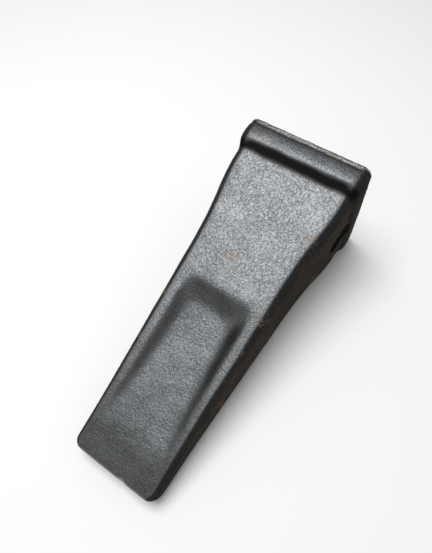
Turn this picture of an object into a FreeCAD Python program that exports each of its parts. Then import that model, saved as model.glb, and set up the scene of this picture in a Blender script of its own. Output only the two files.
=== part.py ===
import FreeCAD, Part
import math
import os

os.makedirs("parts", exist_ok=True)
V = FreeCAD.Vector

# The wear point of a two-piece digging tooth for a small excavator bucket, with the pin
# and the spring ring that hold it on its adapter. Sizes are millimetres.
#
# Design frame: origin at the centre of the retaining pin, +X along the tooth's own
# centreline to the cutting edge, +Y along the pin, +Z up. The upper and lower halves are
# alike. The finished solids are turned about the pin so that the tooth lies on its lower
# face.

# Tooth point, outside
tooth_length = 180.5
pin_setback = 22.5  # rear face to the pin's centre
rear_height = 68.4  # over the faces, just in front of the collar
edge_thickness = 12.5  # at the cutting edge
cheek_width = 65.0  # across the cheeks at the pin
cheek_front = -2.0  # the cheeks start to draw in here, behind the pin's centre
shoulder_at = 24.5
shoulder_step = 3.1  # each flank inside the cheeks at the shoulder
waist_at = 54.5
waist_step = 5.2
blade_at = 94.5
blade_step = 6.6
edge_step = 8.0
draft_angle = 1.8
collar_draft_angle = 0.5
long_edge_radius = 4.6
edge_corner_radius = 5.0  # the cutting edge's corners, seen from above
edge_round = 2.4  # the cutting edge's upper and lower rims

# Collar round the socket's mouth
collar_length = 14.0
collar_rise = 3.4  # above the faces
collar_spread = 1.7  # outside the cheeks
collar_corner_radius = 5.8
collar_front_round = 3.2
collar_rear_round = 2.2
collar_foot = 1.8  # slope from the collar's front down to the faces
rim_length = 3.0  # trimmed lip behind the roll
rim_inset = 0.7

# Spoon recess in the upper and the lower face
recess_start = 60.5  # in front of the pin
recess_to_edge = 18.5  # from the end of its floor to the cutting edge
recess_width = 37.4
recess_depth = 3.8
recess_wall_angle = 32.0
recess_step_angle = 22.0
recess_foot_blend = 0.45  # softness of the floor's edges
recess_corner_blend = 1.3  # softness of its two rear corners
recess_rim_blend = 0.32  # softness of the rims
recess_rim_lift = 0.05  # what the cutter clears the face by, outside the rims

# Socket for the adapter's nose
socket_depth = 85.0
cheek_wall = 9.0  # at the mouth
face_wall = 6.2  # at the mouth, without the collar
end_cheek_wall = 8.3
end_face_wall = 12.1
socket_corner_radius = 4.0

# Retaining pin and its spring ring
pin_diameter = 16.0
pin_sunk = 2.5  # each end below the cheek's face
pin_chamfer = 1.2
pin_bore_clearance = 0.25
groove_depth = 1.6
ring_thickness = 5.0  # along the pin
ring_wall = 4.4  # across the section
ring_gap_angle = 56.0
ring_edge = 0.5
ring_sunk = 0.4  # inner face below the socket's side wall
ring_groove_clearance = 0.1  # the ring's bore over the groove's floor
ring_side_clearance = 0.3
ring_pocket_clearance = 0.6  # the pocket's wall over the ring's rim

tip_x = tooth_length - pin_setback
rear_x = -pin_setback
roll_x = rear_x + rim_length
collar_x = rear_x + collar_length
draft = math.tan(math.radians(draft_angle))
collar_draft = math.tan(math.radians(collar_draft_angle))
face_slope = (rear_height - edge_thickness) / 2.0 / (tip_x - collar_x)
face_angle = math.degrees(math.atan(face_slope))


def face_z(x):
    """Height of the upper face over the centreline."""
    return edge_thickness / 2.0 + (tip_x - x) * face_slope


cheek_y = cheek_width / 2.0
collar_width = cheek_width + 2.0 * collar_spread
collar_height = rear_height + 2.0 * collar_rise
recess_end = tip_x - recess_to_edge
socket_end = rear_x + socket_depth
mouth_y = cheek_y - cheek_wall
mouth_z = rear_height / 2.0 - face_wall
end_y = cheek_y - waist_step - end_cheek_wall
end_z = face_z(socket_end) - end_face_wall
socket_rate_y = (mouth_y - end_y) / socket_depth
socket_rate_z = (mouth_z - end_z) / socket_depth
pin_length = cheek_width - 2.0 * pin_sunk
ring_radius = pin_diameter / 2.0 - groove_depth + ring_groove_clearance
ring_y = mouth_y - socket_rate_y * pin_setback + ring_sunk
pocket_floor = ring_y + ring_thickness
pocket_radius = ring_radius + ring_wall + ring_pocket_clearance


def middle(edge):
    return edge.valueAt((edge.FirstParameter + edge.LastParameter) / 2.0)


def find_edges(shape, test):
    return [edge for edge in shape.Edges if test(middle(edge))]


def long_corners(box, x0, x1):
    """Corner edges that run along the tooth between two ends."""
    return find_edges(box, lambda p: x0 + 0.1 < p.x < x1 - 0.1 and abs(p.z) > 1.0 and abs(p.y) > 1.0)


def polygon(points):
    return Part.makePolygon(points + points[:1])


def fillet_each(shape, radii):
    """Round edges, with a start and an end radius for each edge number."""
    doc = FreeCAD.newDocument("rounding")
    base = doc.addObject("Part::Feature", "base")
    base.Shape = shape
    rounding = doc.addObject("Part::Fillet", "rounding")
    rounding.Base = base
    rounding.Edges = radii
    doc.recompute()
    result = rounding.Shape.copy()
    FreeCAD.closeDocument(doc.Name)
    return result


def both_halves(upper):
    lower = upper.mirror(V(0, 0, 0), V(0, 0, 1))
    return upper.fuse(lower).removeSplitter()


def drafted_box(x0, x1, width, height):
    """Block of the collar, its flanks drafted towards the upper and the lower face."""
    half = width / 2.0
    top = height / 2.0
    pull = top * collar_draft
    section = [V(x0, -half, 0), V(x0, half, 0), V(x0, half - pull, top), V(x0, pull - half, top)]
    return both_halves(Part.Face(polygon(section)).extrude(V(x1 - x0, 0, 0)))


def plan_wire(z, inset):
    """Outline of the tooth from above at a height, its flanks drawn in by inset."""
    half = cheek_y - edge_step - inset
    stations = [
        V(cheek_front, cheek_y - inset, z),
        V(shoulder_at, cheek_y - shoulder_step - inset, z),
        V(waist_at, cheek_y - waist_step - inset, z),
        V(blade_at, cheek_y - blade_step - inset, z),
        V(tip_x - edge_corner_radius, half, z),
    ]
    flank = Part.BSplineCurve()
    flank.interpolate(Points=stations, InitialTangent=V(1, 0, 0), FinalTangent=V(1, 0, 0))
    centre = V(tip_x - edge_corner_radius, half - edge_corner_radius, z)
    turn = edge_corner_radius * math.sqrt(0.5)
    corner_end = centre + V(edge_corner_radius, 0, 0)
    corner = Part.Arc(stations[-1], centre + V(turn, turn, 0), corner_end)
    back = V(roll_x, cheek_y - inset, z)
    one_side = [Part.LineSegment(back, stations[0]).toShape(), flank.toShape(), corner.toShape()]
    other_side = [edge.mirror(V(0, 0, 0), V(0, 1, 0)) for edge in one_side]
    ends = [
        Part.LineSegment(corner_end, V(tip_x, -corner_end.y, z)).toShape(),
        Part.LineSegment(V(roll_x, -back.y, z), back).toShape(),
    ]
    return Part.Wire(Part.__sortEdges__(one_side + other_side + ends))


def make_wedge():
    """Wedge of the tooth: its two faces, its drafted flanks and its cutting edge."""
    high = rear_height
    plan = Part.makeLoft([plan_wire(0, 0), plan_wire(high, high * draft)], True, True)
    front = tip_x + 1.0
    side = [
        V(rear_x, -high, 0),
        V(front, -high, 0),
        V(front, -high, face_z(front)),
        V(rear_x, -high, face_z(rear_x)),
    ]
    upper = plan.common(Part.Face(polygon(side)).extrude(V(0, 2.0 * high, 0))).Solids[0]
    flank_end = tip_x - edge_corner_radius - 0.1
    radii = []
    for number, edge in enumerate(upper.Edges, 1):
        p = middle(edge)
        if abs(p.z - face_z(p.x)) < 0.01 and p.x > roll_x + 1.0:
            ends = [edge.valueAt(edge.FirstParameter).x, edge.valueAt(edge.LastParameter).x]
            start, end = [long_edge_radius if x < flank_end else edge_round for x in ends]
            radii.append((number, start, end))
    return both_halves(fillet_each(upper, radii))


def make_collar():
    """Rounded roll round the socket's mouth, its foot in front and the trimmed lip behind."""
    roll = drafted_box(roll_x, collar_x, collar_width, collar_height)
    roll = roll.makeFillet(collar_corner_radius, long_corners(roll, roll_x, collar_x))
    roll = roll.makeFillet(collar_front_round, find_edges(roll, lambda p: p.x > collar_x - 0.01))
    roll = roll.makeFillet(collar_rear_round, find_edges(roll, lambda p: p.x < roll_x + 0.01))
    lip_x = roll_x + 1.0
    lip = drafted_box(rear_x, lip_x, collar_width - 2.0 * rim_inset, collar_height - 2.0 * rim_inset)
    lip = lip.makeFillet(collar_corner_radius - rim_inset, long_corners(lip, rear_x, lip_x))
    foot_x = collar_x + collar_foot
    foot = drafted_box(lip_x, foot_x, cheek_width + collar_foot, rear_height + 2.0 * collar_foot)
    foot = foot.makeFillet(long_edge_radius + collar_foot / 2.0, long_corners(foot, lip_x, foot_x))
    foot = foot.makeChamfer(collar_foot, find_edges(foot, lambda p: p.x > foot_x - 0.01))
    return roll.fuse(lip).fuse(foot)


def make_recess():
    """Cutter for the spoon recess in the upper face, which is its local plane z = 0.

    Its underside is one surface: a floor that rises in an arc towards the edge, two side
    walls and a rear step, with soft feet and rims.
    """
    length = (recess_end - recess_start) / math.cos(math.radians(face_angle))
    wall_slope = math.tan(math.radians(recess_wall_angle))
    step_slope = math.tan(math.radians(recess_step_angle))

    def higher(a, b, blend):
        return max(a, b) + blend * math.log(1.0 + math.exp(-abs(a - b) / blend))

    def height(x, y):
        floor_z = recess_depth * (max(x, 0.0) / length) ** 2.4 - recess_depth
        wall_z = (abs(y) - recess_width / 2.0) * wall_slope
        sides_z = higher(wall_z, -x * step_slope, recess_corner_blend)
        deep = higher(floor_z, sides_z, recess_foot_blend)
        return -higher(-deep, -recess_rim_lift, recess_rim_blend)

    margin = 10.0
    columns = 41
    rows = 49
    reach = recess_width / 2.0 + margin
    grid = []
    for column in range(columns):
        x = -margin + (length + 2.0 * margin) * column / (columns - 1)
        line = []
        for row in range(rows):
            y = -reach + 2.0 * reach * row / (rows - 1)
            line.append(V(x, y, height(x, y)))
        grid.append(line)
    floor = Part.BSplineSurface()
    floor.interpolate(grid)
    # the surface in six patches, two along the tooth and three across it
    patches = []
    for piece in range(6):
        u, v = piece // 3, piece % 3
        patch = floor.copy()
        patch.segment(u / 2.0, (u + 1) / 2.0, v / 3.0, (v + 1) / 3.0)
        patches.append(patch.toShape().extrude(V(0, 0, margin)))
    pan = patches[0].multiFuse(patches[1:])
    pan.rotate(V(0, 0, 0), V(0, 1, 0), face_angle)
    pan.translate(V(recess_start, 0, face_z(recess_start)))
    return pan


def make_socket():
    """Cutter for the tapered hollow that takes the adapter's nose."""
    before = 5.0
    outlines = []
    for along in (-before, socket_depth):
        y = mouth_y - socket_rate_y * along
        z = mouth_z - socket_rate_z * along
        x = rear_x + along
        outlines.append(polygon([V(x, -y, -z), V(x, y, -z), V(x, y, z), V(x, -y, z)]))
    hollow = Part.makeLoft(outlines, True, True)
    inner = find_edges(hollow, lambda p: p.x > rear_x - before + 0.1)
    return hollow.makeFillet(socket_corner_radius, inner)


def make_tooth():
    tooth = make_wedge().fuse(make_collar()).removeSplitter()
    recess = make_recess()
    tooth = tooth.cut(recess).cut(recess.mirror(V(0, 0, 0), V(0, 0, 1)))
    tooth = tooth.cut(make_socket())
    bore_radius = pin_diameter / 2.0 + pin_bore_clearance
    tooth = tooth.cut(Part.makeCylinder(bore_radius, 4.0 * cheek_y, V(0, -2.0 * cheek_y, 0), V(0, 1, 0)))
    for side in (-1, 1):
        pocket = Part.makeCylinder(pocket_radius, pocket_floor, V(0, 0, 0), V(0, side, 0))
        tooth = tooth.cut(pocket)
    return tooth.removeSplitter()


def make_pin():
    """Straight pin with a ring groove near each end, so it goes in either way round."""
    radius = pin_diameter / 2.0
    end = pin_length / 2.0
    pin = Part.makeCylinder(radius, pin_length, V(0, -end, 0), V(0, 1, 0))
    pin = pin.makeChamfer(pin_chamfer, find_edges(pin, lambda p: abs(p.y) > end - 0.01))
    width = ring_thickness + 2.0 * ring_side_clearance
    for side in (-1, 1):
        start = V(0, side * (ring_y - ring_side_clearance), 0)
        outer = Part.makeCylinder(radius + 1.0, width, start, V(0, side, 0))
        core = Part.makeCylinder(radius - groove_depth, width, start, V(0, side, 0))
        pin = pin.cut(outer.cut(core))
    return pin


def make_ring():
    """Open spring ring, seated on the floor of one cheek's pocket."""
    start = V(0, -ring_y, 0)
    outer = ring_radius + ring_wall
    ring = Part.makeCylinder(outer, ring_thickness, start, V(0, -1, 0))
    ring = ring.cut(Part.makeCylinder(ring_radius, ring_thickness, start, V(0, -1, 0)))
    reach = 2.0 * outer
    spread = reach * math.tan(math.radians(ring_gap_angle / 2.0))
    gap_y = 1.0 - ring_y
    gap = [V(0, gap_y, 0), V(-reach, gap_y, spread), V(-reach, gap_y, -spread)]
    ring = ring.cut(Part.Face(polygon(gap)).extrude(V(0, -ring_thickness - 2.0, 0)))
    rims = find_edges(ring, lambda p: math.hypot(p.x, p.z) > outer - 0.1)
    return ring.makeFillet(ring_edge, rims)


def lie_angle():
    """Turn that lays the tooth on the collar's roll and the cutting edge's lower rim."""
    roll_low = collar_height / 2.0 - collar_front_round
    edge_x = tip_x - edge_round
    edge_low = face_z(edge_x) - edge_round / math.cos(math.radians(face_angle))
    along = edge_x - (collar_x - collar_front_round)
    up = roll_low - edge_low
    lean = math.asin((edge_round - collar_front_round) / math.hypot(along, up))
    return math.degrees(math.atan2(up, along) - lean)


nodes = {
    "tooth_point": make_tooth(),
    "retaining_pin": make_pin(),
    "retainer_ring": make_ring(),
}
turn = lie_angle()
for name, shape in nodes.items():
    shape.rotate(V(0, 0, 0), V(0, 1, 0), turn)
    shape.Solids[0].exportStep("parts/" + name + ".step")
    print(name, len(shape.Solids), shape.isValid(), round(shape.Volume / 1000.0, 3), "cm3")
print("lie angle", round(turn, 3))
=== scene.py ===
import math
import bmesh
import bpy
from mathutils import Matrix, Vector, noise


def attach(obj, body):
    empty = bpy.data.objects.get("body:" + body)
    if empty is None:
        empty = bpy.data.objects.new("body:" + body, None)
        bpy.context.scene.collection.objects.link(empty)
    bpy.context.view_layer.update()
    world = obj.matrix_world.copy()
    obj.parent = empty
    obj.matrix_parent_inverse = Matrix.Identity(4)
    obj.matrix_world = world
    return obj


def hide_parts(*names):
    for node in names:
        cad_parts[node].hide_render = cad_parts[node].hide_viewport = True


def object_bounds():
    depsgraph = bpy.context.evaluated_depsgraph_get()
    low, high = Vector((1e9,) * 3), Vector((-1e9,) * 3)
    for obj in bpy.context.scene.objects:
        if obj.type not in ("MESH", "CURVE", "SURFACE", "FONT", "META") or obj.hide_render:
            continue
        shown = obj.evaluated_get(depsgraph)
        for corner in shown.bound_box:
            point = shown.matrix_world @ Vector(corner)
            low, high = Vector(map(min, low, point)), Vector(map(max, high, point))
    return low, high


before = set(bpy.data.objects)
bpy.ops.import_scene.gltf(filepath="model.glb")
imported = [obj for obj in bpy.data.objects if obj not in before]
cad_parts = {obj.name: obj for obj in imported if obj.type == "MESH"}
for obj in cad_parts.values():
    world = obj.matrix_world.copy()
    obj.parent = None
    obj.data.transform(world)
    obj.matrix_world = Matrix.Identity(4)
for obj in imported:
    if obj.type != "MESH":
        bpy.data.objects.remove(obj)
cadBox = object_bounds()
print("frame loaded")


class Wire:
    # a shader socket that can stand in a sum
    def __init__(self, finish, socket):
        self.finish, self.socket = finish, socket

    def maths(self, operation, first, second):
        return self.finish.node("Math", {"operation": operation}, {0: first, 1: second})

    def __add__(self, other):
        return self.maths("ADD", self, other)

    def __radd__(self, other):
        return self.maths("ADD", other, self)

    def __sub__(self, other):
        return self.maths("SUBTRACT", self, other)

    def __rsub__(self, other):
        return self.maths("SUBTRACT", other, self)

    def __mul__(self, other):
        return self.maths("MULTIPLY", self, other)

    def __rmul__(self, other):
        return self.maths("MULTIPLY", other, self)

    def orMore(self, other):
        return self.maths("MAXIMUM", self, other)


class Finish:
    # one material; grain sizes and relief depths are in millimetres
    def __init__(self, name):
        self.material = bpy.data.materials.new(name)
        self.material.use_nodes = True
        self.tree = self.material.node_tree
        self.tree.nodes.clear()

    def node(self, kind, settings, sockets, out=0):
        made = self.tree.nodes.new("ShaderNode" + kind)
        for key, setting in settings.items():
            setattr(made, key, setting)
        for key, value in sockets.items():
            if isinstance(value, Wire):
                self.tree.links.new(value.socket, made.inputs[key])
            else:
                made.inputs[key].default_value = value
        return Wire(self, made.outputs[out])

    def place(self):
        return self.node("TexCoord", {}, {}, "Object")

    def along(self, stretch):
        # the place, squeezed along each axis, for drawn-out marks
        return self.node("Mapping", {}, {"Vector": self.place(), "Scale": stretch})

    def grain(self, size, detail=2.0, rough=0.5, twist=0.0, at=None):
        return self.node("TexNoise", {}, {
            "Vector": at or self.place(),
            "Scale": 1000 / size,
            "Detail": detail,
            "Roughness": rough,
            "Distortion": twist,
        })

    def step(self, value, low, high, start=0.0, end=1.0):
        spans = {0: value, 1: low, 2: high, 3: start, 4: end}
        return self.node("MapRange", {"interpolation_type": "SMOOTHSTEP"}, spans)

    def mix(self, factor, first, second):
        # 6 and 7 are the colours going in and 2 is the colour coming out
        return self.node("Mix", {"data_type": "RGBA"}, {0: factor, 6: first, 7: second}, 2)

    def coat(self, under, mask, layer):
        # a layer is how much of it shows, then its colour
        share, colour = layer
        return self.mix(mask * share, under, colour)

    def mark(self, name):
        return self.node("Attribute", {"attribute_name": name}, {}, "Fac")

    def bump(self, height, depth, under=None):
        sockets = {"Height": height, "Distance": depth / 1000, "Strength": 1.0}
        if under:
            sockets["Normal"] = under
        return self.node("Bump", {}, sockets)

    def surface(self, sockets):
        shader = self.node("BsdfPrincipled", {}, sockets)
        output = self.tree.nodes.new("ShaderNodeOutputMaterial")
        self.tree.links.new(shader.socket, output.inputs["Surface"])
        return self.material


def rgb(red, green, blue):
    return (red, green, blue, 1)


# the tooth lies with its own centreline this far below level
lie = math.radians(10.496)
alongTooth = Matrix.Rotation(-lie, 3, "Y")

# places are millimetres along, across and up from the pin, in the tooth's own frame;
# each layer of noise is its strength, then how often it changes in a millimetre
forging = {
    "voxel": 0.85,  # size of the skin's faces
    "smoothing": 5,  # rounds of easing over the whole skin
    "swell": 0.12,  # slow waves left by the dies and the shot blasting
    "swellLeast": 0.9,
    "swellNoise": ((0.6, 0.16), (0.4, 0.42)),
    "rearFace": -22.5,
    "rimOutside": (29.0, 31.5),  # the mouth's outer rim is past this, across or up
    "rearward": -0.6,  # a face that looks back this far is part of the rear face
    "lipLength": 1.5,  # trimmed bright edge round the mouth
    "lipFade": 0.4,
    "lipTrim": 0.22,  # how far the trimming went in
    "lipTrimLeast": 0.6,
    "lipTrimNoise": ((1.0, 0.5),),
    "finerFrom": 0.3,  # smaller faces for the lip and its crease, in front of the rear face
    "finerTo": 4.8,
    "creaseAt": 2.6,  # dark line where the lip was trimmed, in front of the rear face
    "creaseWidth": 0.75,
    "creaseDepth": 0.55,
    "creaseNoise": ((0.5, 0.35),),
    "creaseWander": ((0.25, 0.2),),
    "rollFrom": -18.6,  # the collar's roll, between its lip and its front foot
    "rollTo": -5.0,
    "rollOutside": (29.0, 29.5),
    "rollClear": 9.5,  # the roll's easing stays this far from the bore's axis
    "rollEasing": 24,  # rounds of easing on the roll
    "collarFront": -8.5,
    "collarFade": 1.5,
    "collarWander": ((0.5, 0.15),),
    "coveSpan": (-3.2, 0.6, 4.8),  # painted shade at the collar's front: starts, darkest, ends
    "socketEnd": 63.0,
    "socketAcross": 27.0,  # the socket's walls are inside this, across
    "boreShade": (9.3, 8.3, 6.5),  # painted shade within this radius, or the second one past the third along
    "hollowReach": 45,  # rounds of easing that find the hollows
    "railSpan": (18.6, 20.6),  # the rails beside the recess start between these, across
    "wallTurn": (0.10, 0.62),  # how far a recess wall turns sideways before it is painted dark
    "wallScale": (0.62, 0.90),  # how dark the painted shade on a recess wall is, the one that faces +Y and the other
    "wallNoise": ((0.35, 0.09),),
    "edgeTurn": (0.07, 0.42),  # how far a long edge turns before it is painted dark
    "roundedSpan": (75.0, 110.0),  # the painted shade on the +Y long edge comes sooner, more and more between these
    "roundedTurn": (0.06, 0.14),  # by this much of a turn, and over this much less
    "chips": ((158.0, 6.0, 5.5, 2.6, 0.9),),  # along, across, up, reach, depth
    "bloomNoise": ((0.9, 0.22), (0.5, 0.55)),
    # rust blooms: along, across, up, reach
    "blooms": (
        (62.0, 23.5, 21.0, 6.5),
        (80.0, 24.5, 19.0, 4.5),
        (74.0, -24.0, 20.0, 4.5),
        (97.0, -23.5, 16.0, 4.0),
        (-16.0, -20.0, 37.0, 5.5),
        (-21.5, 12.0, 36.5, 5.0),
        (44.0, -4.0, 26.0, 6.0),
        (20.0, 24.0, 29.0, 5.0),
        (120.0, 6.0, -9.0, 8.0),
        (30.0, -8.0, -28.0, 9.0),
        (-12.0, 16.0, -37.0, 6.0),
        (52.0, -29.0, -12.0, 11.0),
        (22.0, 32.0, -20.0, 12.0),
        (104.0, 26.0, 1.0, 9.0),
    ),
}


def easeBetween(value, low, high):
    share = min(max((value - low) / (high - low), 0.0), 1.0)
    return share * share * (3 - 2 * share)


def uneven(own, layers):
    return sum(strength * noise.noise(own * often) for strength, often in layers)


def ownPlace(vert):
    return alongTooth @ vert.co * 1000


def pastEither(own, limits):
    return abs(own.y) > limits[0] or abs(own.z) > limits[1]


def remeshedSkin():
    # the CAD shape as one even skin, with its sharp edges eased as a die leaves them
    shell = bmesh.new()
    shell.from_mesh(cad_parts["tooth_point"].data)
    bmesh.ops.remove_doubles(shell, verts=shell.verts, dist=1e-6)
    mesh = bpy.data.meshes.new("forgedTooth")
    shell.to_mesh(mesh)
    shell.free()
    piece = bpy.data.objects.new("forgedTooth", mesh)
    bpy.context.scene.collection.objects.link(piece)
    remesh = piece.modifiers.new("skin", "REMESH")
    remesh.mode = "VOXEL"
    remesh.voxel_size = forging["voxel"] / 1000
    remesh.use_smooth_shade = True
    depsgraph = bpy.context.evaluated_depsgraph_get()
    piece.data = bpy.data.meshes.new_from_object(piece.evaluated_get(depsgraph))
    piece.modifiers.clear()
    bpy.data.meshes.remove(mesh)
    return piece


def easeSkin(shell, rounds, verts=None):
    for turn in range(rounds):
        bmesh.ops.smooth_vert(
            shell,
            verts=verts or shell.verts,
            factor=0.5,
            use_axis_x=True,
            use_axis_y=True,
            use_axis_z=True,
        )
    shell.normal_update()


def plumpRoll(shell):
    # the collar between its lip and the face in front, rounded further
    def onRoll(vert):
        own = ownPlace(vert)
        clear = math.hypot(own.x, own.z) > forging["rollClear"]
        outer = pastEither(own, forging["rollOutside"])
        return forging["rollFrom"] < own.x < forging["rollTo"] and outer and clear
    easeSkin(shell, forging["rollEasing"], [vert for vert in shell.verts if onRoll(vert)])


def finerLip(shell):
    # smaller faces round the mouth's lip, for its crease
    def onLip(vert):
        own = ownPlace(vert)
        ahead = own.x - forging["rearFace"]
        near = forging["finerFrom"] < ahead < forging["finerTo"]
        return near and pastEither(own, forging["rimOutside"])
    lipEdges = [edge for edge in shell.edges if onLip(edge.verts[0]) and onLip(edge.verts[1])]
    bmesh.ops.subdivide_edges(shell, edges=lipEdges, cuts=1, use_grid_fill=True)


def onTrimmedLip(own):
    # 1 on the trimmed lip and 0 in front of it
    ahead = own.x - forging["rearFace"]
    length, fade = forging["lipLength"], forging["lipFade"]
    return 1 - easeBetween(ahead, length - fade, length + fade)


def rustBloom(own):
    ragged = 1 + uneven(own, forging["bloomNoise"])
    bloom = 0.0
    for along, across, up, reach in forging["blooms"]:
        away = (own - Vector((along, across, up))).length * ragged
        bloom = max(bloom, easeBetween(1 - away / reach, 0.0, 0.9))
    return bloom


def turnedAway(own, facing):
    # painted shade on what turns sideways: the recess's walls, and the long edges on the rails
    side = abs(facing.y)
    scale = forging["wallScale"][0 if facing.y > 0 else 1] + uneven(own, forging["wallNoise"])
    wall = easeBetween(side, *forging["wallTurn"]) * scale
    rounded = easeBetween(own.x, *forging["roundedSpan"]) if own.y > 0 else 0.0
    sooner, narrower = forging["roundedTurn"]
    low, high = forging["edgeTurn"]
    edge = easeBetween(side + sooner * rounded, low, high - narrower * rounded)
    rail = easeBetween(abs(own.y), *forging["railSpan"])
    return wall + (edge - wall) * rail


def skinMarks(own, facing, over):
    # what the finish reads at each point; over is how far it stands out of the eased skin
    rim = pastEither(own, forging["rimOutside"])
    inward = facing.y * own.y + facing.z * own.z < 0
    inSocket = own.x < forging["socketEnd"] and inward and not rim
    inSocket = inSocket and abs(own.y) < forging["socketAcross"]
    wide, tight, fromHere = forging["boreShade"]
    inBore = math.hypot(own.x, own.z) < (wide if own.x < fromHere else tight)
    outer = 0.0 if inSocket or inBore else 1.0
    ahead = own.x - forging["collarFront"] + uneven(own, forging["collarWander"])
    fade = forging["collarFade"]
    start, darkest, end = forging["coveSpan"]
    # painted shade in a band in front of the collar
    coveShade = outer * easeBetween(ahead, start, darkest) * (1 - easeBetween(ahead, darkest, end))
    return {
        "ridge": max(over, 0.0),
        "hollow": max(-over, 0.0),
        "flank": abs(facing.y),
        "turned": turnedAway(own, facing),
        "lip": onTrimmedLip(own) if rim or facing.x < forging["rearward"] else 0.0,
        "inside": 1.0 - outer,
        "collar": outer * (1 - easeBetween(ahead, -fade, fade)),
        # painted shade over the whole bore as well
        "coveShade": 1.0 if inBore else coveShade,
        "bloom": rustBloom(own),
    }


def sunkBy(own):
    # how far the waves, the lip's crease and its trimming take a point inwards
    inward = forging["swell"] * (forging["swellLeast"] + uneven(own, forging["swellNoise"]))
    if pastEither(own, forging["rimOutside"]):
        wander = uneven(own, forging["creaseWander"])
        fromCrease = own.x - forging["rearFace"] - forging["creaseAt"] - wander
        crease = math.exp(-(fromCrease / forging["creaseWidth"]) ** 2)
        inward += forging["creaseDepth"] * crease * (1 + uneven(own, forging["creaseNoise"]))
        trim = forging["lipTrimLeast"] + uneven(own, forging["lipTrimNoise"])
        inward += onTrimmedLip(own) * forging["lipTrim"] * trim
    return inward


def chippedBy(own):
    back = 0.0
    for along, across, up, reach, depth in forging["chips"]:
        near = 1 - (own - Vector((along, across, up))).length / reach
        back += depth * easeBetween(near, 0.0, 0.7)
    return back


def forgedTooth():
    piece = remeshedSkin()
    shell = bmesh.new()
    shell.from_mesh(piece.data)
    easeSkin(shell, forging["smoothing"])
    plumpRoll(shell)
    finerLip(shell)
    easeSkin(shell, 1)
    eased = shell.copy()
    easeSkin(eased, forging["hollowReach"])
    print("tooth skin", len(shell.verts), "points", len(shell.faces), "faces")
    layers = {}
    moves = []
    names = ("ridge", "hollow", "flank", "turned", "lip", "inside", "collar", "coveShade", "bloom")
    for name in names:
        layers[name] = shell.verts.layers.float.new(name)
    for vert, soft in zip(shell.verts, eased.verts):
        own = ownPlace(vert)
        over = (vert.co - soft.co).dot(vert.normal) * 1000
        for name, value in skinMarks(own, alongTooth @ vert.normal, over).items():
            vert[layers[name]] = value
        back = alongTooth.transposed() @ Vector((chippedBy(own), 0, 0))
        moves.append((vert, vert.normal * sunkBy(own) + back))
    for vert, move in moves:
        vert.co -= move / 1000
    eased.free()
    shell.to_mesh(piece.data)
    shell.free()
    return piece


# two colours are the darkest and the palest; a number with a colour is how much of it shows
toothSkin = {
    "pebble": 0.95,  # grain sizes
    "pit": 0.5,
    "patch": 5,
    "cloud": 17,
    "pebbleDepth": 0.19,
    "pitDepth": 0.06,
    "steel": (rgb(0.073, 0.077, 0.080), rgb(0.150, 0.1565, 0.162)),
    # painted shade over the collar, toning down its roll's highlight
    "collar": (0.28, rgb(0.030, 0.031, 0.032)),
    # painted shade on the recess walls and the long edges
    "turned": (0.93, rgb(0.0105, 0.011, 0.012)),
    # the flanks' brown: a stain, and darker than the top as painted shade on faces that turn
    # sideways
    "brown": (rgb(0.019, 0.0155, 0.0125), rgb(0.042, 0.032, 0.023)),
    "inside": (0.85, rgb(0.020, 0.018, 0.0165)),
    # painted shade in the hollows of the skin
    "hollow": rgb(0.008, 0.0075, 0.0075),
    "hollowShare": 0.7,
    # painted shade, near black, in front of the collar and in the bores
    "coveShade": (0.97, rgb(0.0035, 0.0033, 0.0033)),
    "worn": (0.12, rgb(0.36, 0.37, 0.38)),
    "rust": (0.45, rgb(0.20, 0.145, 0.075)),
    "bare": (rgb(0.12, 0.112, 0.092), rgb(0.34, 0.33, 0.295)),  # trimmed lip and rear face
    "bareShare": 0.85,
    "scratch": 0.8,
    "scratchStretch": (1.0, 1.0, 0.09),  # grinding marks run up and down the rear face
    "gloss": 0.07,
}


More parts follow.
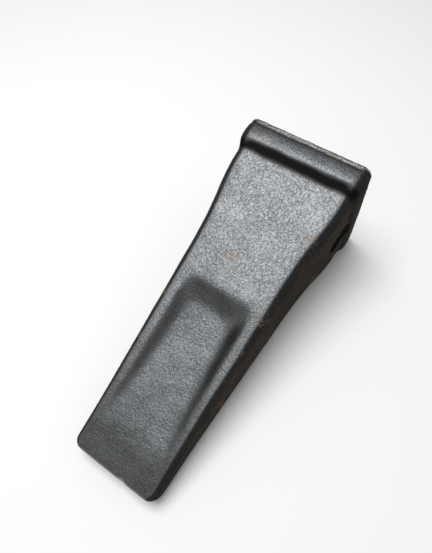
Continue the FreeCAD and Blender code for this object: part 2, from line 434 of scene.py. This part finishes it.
def forgedSteel():
    look = toothSkin
    finish = Finish("forgedSteel")
    pebble = finish.grain(look["pebble"], detail=2.5, rough=0.6, twist=0.2)
    pits = finish.grain(look["pit"], detail=2.0, rough=0.6)
    cloud = finish.grain(look["cloud"], detail=4.0, rough=0.6)
    patch = finish.grain(look["patch"], detail=4.0, rough=0.6)
    grit = pebble - 0.5

    # where each tone lies
    hollow = finish.step(finish.mark("hollow") + grit * 0.1, 0.10, 0.70) * look["hollowShare"]
    coveShade = finish.step(finish.mark("coveShade") + grit * 0.35, 0.05, 0.85)
    turned = finish.step(finish.mark("turned") + grit * 0.2, 0.05, 0.95)
    flank = finish.step(finish.mark("flank") + (patch - 0.5) * 0.15, 0.72, 0.95)
    inside = finish.mark("inside")
    worn = finish.step(finish.mark("ridge") + pebble * 0.05, 0.22, 0.5) * (1.0 - turned)
    speckle = finish.grain(1.0, detail=4.0, rough=0.65)
    rust = finish.step(finish.mark("bloom") * 0.17 + speckle, 0.62, 0.74)
    scattered = finish.step(finish.grain(0.9), 0.70, 0.78) * finish.step(patch, 0.52, 0.66) * 0.6
    rust = (rust + scattered) * (1.0 - coveShade)

    # the tones, from the clean forging skin outwards
    steel = finish.mix(finish.step(pebble * 0.6 + cloud * 0.4, 0.34, 0.64), *look["steel"])
    # painted shade over the collar, toning down its roll's highlight
    steel = finish.coat(steel, finish.mark("collar"), look["collar"])
    # painted shade on the recess walls and the long edges
    steel = finish.coat(steel, turned, look["turned"])
    stain = finish.step(cloud * 0.5 + patch * 0.3 + pebble * 0.2, 0.36, 0.66)
    # the flanks turn brown, a stain, and darker than the top as painted shade where they face
    # sideways
    steel = finish.mix(flank, steel, finish.mix(stain, *look["brown"]))
    steel = finish.coat(steel, inside, look["inside"])
    # painted shade in the hollows of the skin
    steel = finish.mix(hollow, steel, look["hollow"])
    # painted shade in front of the collar and in the bores, weaker on the flanks
    steel = finish.coat(steel, coveShade * (1.0 - flank * 0.55), look["coveShade"])
    steel = finish.coat(steel, worn, look["worn"])
    steel = finish.coat(steel, rust, look["rust"])
    scratches = finish.grain(look["scratch"], detail=3.0, at=finish.along(look["scratchStretch"]))
    bare = finish.mix(finish.step(scratches * 0.6 + patch * 0.4, 0.36, 0.66), *look["bare"])
    steel = finish.mix(finish.mark("lip") * look["bareShare"], steel, bare)

    # the brown flanks, the socket, rust and the painted shade in hollows, coves, bores and on
    # turned walls and edges shine less than steel
    dull = flank.orMore(hollow.orMore(coveShade))
    metal = (1.0 - dull) * (1.0 - turned * 0.95) * (1.0 - inside * 0.6) * (1.0 - rust * 0.35)
    roughness = finish.step(pebble, 0.3, 0.7, 0.50, 0.38)
    roughness = roughness + dull * 0.4 + turned * 0.08 + inside * 0.2
    relief = finish.bump(pits, look["pitDepth"], finish.bump(pebble, look["pebbleDepth"]))
    return finish.surface({
        "Base Color": steel,
        "Metallic": metal,
        "Roughness": roughness,
        "Specular IOR Level": look["gloss"],
        "Normal": relief,
    })


tooth = forgedTooth()
tooth.data.materials.clear()
tooth.data.materials.append(forgedSteel())
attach(tooth, "tooth")
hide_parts("tooth_point")
print("tooth made")

pinFinish = {
    "smear": 7,  # grain sizes
    "fine": 0.45,
    "turning": 0.5,
    "turningStretch": (0.03, 1.0, 0.03),  # the lathe's marks run round the pin
    "turningDepth": 0.05,
    "fineDepth": 0.02,
    "black": (rgb(0.011, 0.0105, 0.010), rgb(0.030, 0.028, 0.026)),
    "rubbed": (0.45, rgb(0.15, 0.145, 0.14)),
    "gloss": 0.25,
}


def turnedSteel():
    # turned, and then blackened in the furnace
    look = pinFinish
    finish = Finish("turnedSteel")
    smear = finish.grain(look["smear"], detail=4.0, rough=0.6)
    fine = finish.grain(look["fine"], detail=2.0)
    turning = finish.grain(look["turning"], detail=1.0, at=finish.along(look["turningStretch"]))
    tone = finish.step(smear * 0.4 + turning * 0.3 + fine * 0.3, 0.38, 0.62)
    rubbed = finish.step(smear, 0.52, 0.68) * finish.step(turning, 0.45, 0.60)
    relief = finish.bump(fine, look["fineDepth"], finish.bump(turning, look["turningDepth"]))
    return finish.surface({
        "Base Color": finish.coat(finish.mix(tone, *look["black"]), rubbed, look["rubbed"]),
        "Metallic": rubbed * 0.6,
        "Roughness": finish.step(smear, 0.3, 0.7, 0.58, 0.40),
        "Specular IOR Level": look["gloss"],
        "Normal": relief,
    })


ringFinish = {
    "smear": 4,  # grain sizes
    "fine": 0.5,
    "fineDepth": 0.02,
    "blued": (rgb(0.05, 0.055, 0.07), rgb(0.11, 0.115, 0.135)),
    "metal": 0.9,
}


def bluedSteel():
    look = ringFinish
    finish = Finish("bluedSteel")
    smear = finish.grain(look["smear"], detail=3.0)
    return finish.surface({
        "Base Color": finish.mix(finish.step(smear, 0.35, 0.65), *look["blued"]),
        "Metallic": look["metal"],
        "Roughness": finish.step(smear, 0.3, 0.7, 0.30, 0.45),
        "Normal": finish.bump(finish.grain(look["fine"]), look["fineDepth"]),
    })


for node, material in (("retaining_pin", turnedSteel()), ("retainer_ring", bluedSteel())):
    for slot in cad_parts[node].material_slots:
        slot.material = material
print("pin and ring finished")

studio = {
    "floorSize": 3.0,
    "floorWhite": 0.86,
    "floorRoughness": 0.9,
    "overhead": {"at": (0.08, -0.16, 0.70), "towards": (0.04, 0, 0), "size": 0.42, "power": 5.0},
    "air": 0.38,  # strength of the soft light from all round
}


def plainFloor():
    floor = bmesh.new()
    bmesh.ops.create_grid(floor, x_segments=2, y_segments=2, size=studio["floorSize"])
    bmesh.ops.translate(floor, verts=floor.verts, vec=(0, 0, cadBox[0].z))
    mesh = bpy.data.meshes.new("floor")
    floor.to_mesh(mesh)
    floor.free()
    piece = bpy.data.objects.new("floor", mesh)
    bpy.context.scene.collection.objects.link(piece)
    white = studio["floorWhite"]
    mesh.materials.append(Finish("floorPaint").surface({
        "Base Color": rgb(white, white, white),
        "Roughness": studio["floorRoughness"],
    }))


def softbox(name, at, towards, size, power):
    lamp = bpy.data.lights.new(name, "AREA")
    lamp.size = size
    lamp.energy = power
    holder = bpy.data.objects.new(name, lamp)
    holder.location = at
    aim = (Vector(towards) - Vector(at)).to_track_quat("-Z", "Y")
    holder.rotation_euler = aim.to_euler()
    bpy.context.scene.collection.objects.link(holder)


def softAir():
    world = bpy.data.worlds.new("air")
    bpy.context.scene.world = world
    world.use_nodes = True
    background = world.node_tree.nodes["Background"]
    background.inputs["Color"].default_value = rgb(1, 1, 1)
    background.inputs["Strength"].default_value = studio["air"]


plainFloor()
softbox("overhead", **studio["overhead"])
softAir()
bpy.context.scene.view_settings.view_transform = "Standard"
print("studio lit")

camera = {
    "at": (0.1385, 0.0556, 0.2005),
    "lookAt": (0.0537, -0.0097, 0.0001),
    "roll": 3.8,  # degrees
    "lens": 29.11,
    "sensor": 36,
    "nearest": 0.01,
}


def aimCamera():
    eye = bpy.data.cameras.new("camera")
    eye.sensor_fit = "VERTICAL"
    eye.sensor_height = camera["sensor"]
    eye.lens = camera["lens"]
    eye.clip_start = camera["nearest"]
    holder = bpy.data.objects.new("camera", eye)
    look = (Vector(camera["lookAt"]) - Vector(camera["at"])).to_track_quat("-Z", "Y")
    roll = Matrix.Rotation(math.radians(-camera["roll"]), 4, "Z")
    holder.matrix_world = Matrix.Translation(camera["at"]) @ look.to_matrix().to_4x4() @ roll
    bpy.context.scene.collection.objects.link(holder)
    bpy.context.scene.camera = holder


aimCamera()
print("scene ready")
